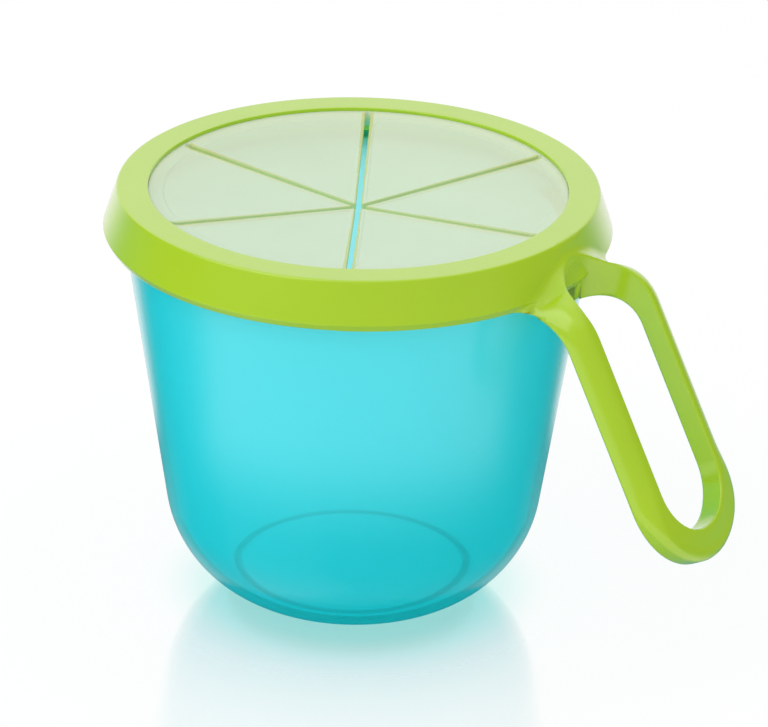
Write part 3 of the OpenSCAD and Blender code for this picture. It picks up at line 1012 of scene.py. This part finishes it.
# How much of the floor is its own even white, to the eye and more of it in a reflection
FLOOR_WHITE, MORE_IN_GLOSS = 0.86, 0.14
# The floor's mirror: its share, at most and at 1 m from the axis, and how fast it falls
MIRROR_MOST, MIRROR_AT_1M, MIRROR_POWER = 0.33, 0.0013, -1.7

KEY_PLACE, KEY_SIZE, KEY_WATTS = (-350, -780, 980), 1200, 5.3
KEY_AIM_Z = 45


def room_tone(tree, direction):
    """How bright the room looks in a reflection, by the compass direction: a share for the
    white end in front of the object and one for the end behind it, both 0 at the sides."""
    flat = add_node(tree, "VectorMath", {0: direction, 1: (1, 1, 0)}, operation="MULTIPLY")
    unit = add_node(tree, "VectorMath", {0: flat}, operation="NORMALIZE")
    forward = (math.sin(VIEW_TURN), -math.cos(VIEW_TURN), 0)
    along = add_node(tree, "VectorMath", {0: unit, 1: forward}, operation="DOT_PRODUCT")
    return [
        add_node(
            tree,
            "MapRange",
            {"Value": along.outputs["Value"], "From Min": starts, "From Max": full},
            interpolation_type="SMOOTHSTEP",
        )
        for starts, full in ROOM_ENDS
    ]


def white_acrylic_sheet():
    """Polished white acrylic sheet: it mirrors the base of the object, less so further off,
    and looks evenly white elsewhere. Near the cup its glow is painted pale cyan, standing
    for light come through the plastic. In a reflection its white is left out near the cup,
    a painted shadow of the cup, and a cyan glow is painted where that white is dim."""
    made, tree, place = new_material("white_acrylic_sheet")
    away = add_node(tree, "VectorMath", {0: place}, operation="LENGTH").outputs["Value"]
    front, back = room_tone(tree, place)
    room = add_node(tree, "Math", {0: front, 1: back}, operation="ADD")
    # Near the cup the floor's white is left out of reflections: a painted shadow
    past_cup = add_node(
        tree,
        "MapRange",
        {"Value": away, "From Min": DIM_IN * MM, "From Max": DIM_OUT * MM},
        interpolation_type="SMOOTHSTEP",
    )
    tone = add_node(tree, "Math", {0: room, 1: past_cup}, operation="MULTIPLY")
    in_gloss = ray_kinds(tree, "Glossy")
    shown = add_node(tree, "Math", {0: tone, 1: in_gloss}, operation="MULTIPLY")
    to_eye = ray_kinds(tree, "Camera", "Transmission")
    level = add_node(tree, "Math", {0: shown, 1: to_eye}, operation="ADD")
    # Near the cup the glow is painted pale cyan, standing for light come through the plastic
    past_tint = add_node(
        tree,
        "MapRange",
        {"Value": away, "From Min": TINT_IN * MM, "From Max": TINT_OUT * MM},
        interpolation_type="SMOOTHSTEP",
    )
    shades = {"Factor": past_tint, "A": colour("bcf2ec"), "B": colour("ffffff")}
    pale = add_node(tree, "Mix", shades, data_type="RGBA").outputs["Result"]
    white = add_node(tree, "Emission", {"Color": pale, "Strength": level})
    # A painted cyan glow, seen in reflections where the floor's white is dim
    dim = add_node(tree, "MapRange", {"Value": tone, "To Min": DIM_GLOW, "To Max": 0.0})
    dim_in_gloss = add_node(tree, "Math", {0: dim, 1: in_gloss}, operation="MULTIPLY")
    tinted = add_node(
        tree, "Emission", {"Color": colour("2cc4d0"), "Strength": dim_in_gloss}
    )
    glow = add_node(tree, "AddShader", {0: white, 1: tinted})
    any_sight = ray_kinds(tree, "Camera", "Transmission", "Glossy")
    even = add_node(tree, "Math", {0: any_sight, 1: FLOOR_WHITE}, operation="MULTIPLY")
    more = {0: in_gloss, 1: MORE_IN_GLOSS, 2: even}
    share = add_node(tree, "Math", more, operation="MULTIPLY_ADD")
    paint = add_node(tree, "BsdfDiffuse", {"Color": colour("f4f4f4")})
    seen = add_node(tree, "MixShader", {0: share, 1: paint, 2: glow})
    fall = add_node(tree, "Math", {0: away, 1: MIRROR_POWER}, operation="POWER")
    strong = add_node(tree, "Math", {0: fall, 1: MIRROR_AT_1M}, operation="MULTIPLY")
    capped = add_node(tree, "Math", {0: strong, 1: MIRROR_MOST}, operation="MINIMUM")
    mirror = add_node(tree, "BsdfGlossy", {"Color": colour("fcffff"), "Roughness": 0.1})
    both = add_node(tree, "MixShader", {0: capped, 1: seen, 2: mirror})
    add_node(tree, "OutputMaterial", {"Surface": both})
    return made


def make_floor():
    """One flat square under the object."""
    half = FLOOR_HALF * MM
    corners = [(-half, -half, 0), (half, -half, 0), (half, half, 0), (-half, half, 0)]
    mesh = bpy.data.meshes.new("floor")
    mesh.from_pydata(corners, [], [(0, 1, 2, 3)])
    floor = bpy.data.objects.new("floor", mesh)
    bpy.context.scene.collection.objects.link(floor)
    dress(floor, white_acrylic_sheet())


def make_world():
    """A pale room. It lights evenly, and in a reflection it is white behind the object,
    pale in front and overhead, and dim at both sides."""
    world = bpy.data.worlds.new("pale_room")
    bpy.context.scene.world = world
    world.use_nodes = True
    tree = world.node_tree
    tree.nodes.clear()
    heading = add_node(tree, "TexCoord").outputs["Generated"]
    front, back = room_tone(tree, heading)
    pale = add_node(tree, "Math", {0: front, 1: ROOM_FRONT}, operation="MULTIPLY")
    ends = add_node(tree, "Math", {0: pale, 1: back}, operation="ADD")
    high = add_node(tree, "SeparateXYZ", {0: heading}).outputs["Z"]
    ceiling = add_node(
        tree,
        "MapRange",
        {"Value": high, "From Min": CEILING_LOW, "From Max": CEILING_HIGH, "To Max": ROOM_TOP},
        interpolation_type="SMOOTHSTEP",
    )
    tone = add_node(tree, "Math", {0: ends, 1: ceiling}, operation="MAXIMUM")
    tone = add_node(tree, "Math", {0: tone, 1: ROOM_SIDES}, operation="MAXIMUM")
    in_gloss = ray_kinds(tree, "Glossy")
    mirrored = add_node(tree, "Math", {0: tone, 1: in_gloss}, operation="MULTIPLY")
    to_eye = ray_kinds(tree, "Camera", "Transmission")
    plain = add_node(tree, "MapRange", {"Value": to_eye, "To Min": ROOM_LIGHT})
    not_gloss = add_node(tree, "Math", {0: 1.0, 1: in_gloss}, operation="SUBTRACT")
    rest = add_node(tree, "Math", {0: plain, 1: not_gloss}, operation="MULTIPLY")
    level = add_node(tree, "Math", {0: mirrored, 1: rest}, operation="ADD")
    light = add_node(tree, "Background", {"Color": colour("ffffff"), "Strength": level})
    add_node(tree, "OutputWorld", {"Surface": light})


def make_key_light():
    """A square lamp above and to the left in front, that faces the middle of the object."""
    lamp = bpy.data.lights.new("key_light", "AREA")
    lamp.size = KEY_SIZE * MM
    lamp.energy = KEY_WATTS
    holder = bpy.data.objects.new("key_light", lamp)
    holder.location = Vector(KEY_PLACE) * MM
    aim = Vector((0, 0, KEY_AIM_Z * MM)) - holder.location
    holder.rotation_euler = aim.to_track_quat("-Z", "Y").to_euler()
    bpy.context.scene.collection.objects.link(holder)


def make_camera():
    """A long lens from far off, aimed a little to the handle's side of the axis."""
    right = Vector((math.cos(VIEW_TURN), math.sin(VIEW_TURN), 0))
    away = Vector((-math.sin(VIEW_TURN), math.cos(VIEW_TURN), 0))
    aim = right * AIM_ASIDE + Vector((0, 0, AIM_Z))
    back = -away * math.cos(VIEW_RISE) + Vector((0, 0, math.sin(VIEW_RISE)))
    data = bpy.data.cameras.new("camera")
    data.lens = VIEW_LENS
    data.clip_start, data.clip_end = 0.05, 20
    camera = bpy.data.objects.new("camera", data)
    camera.location = (aim + back * VIEW_REACH) * MM
    camera.rotation_mode = "QUATERNION"
    roll = Quaternion((0, 0, 1), VIEW_ROLL)
    camera.rotation_quaternion = (-back).to_track_quat("-Z", "Y") @ roll
    bpy.context.scene.collection.objects.link(camera)
    bpy.context.scene.camera = camera


make_floor()
make_world()
make_key_light()
make_camera()
bpy.context.scene.view_settings.view_transform = "Standard"
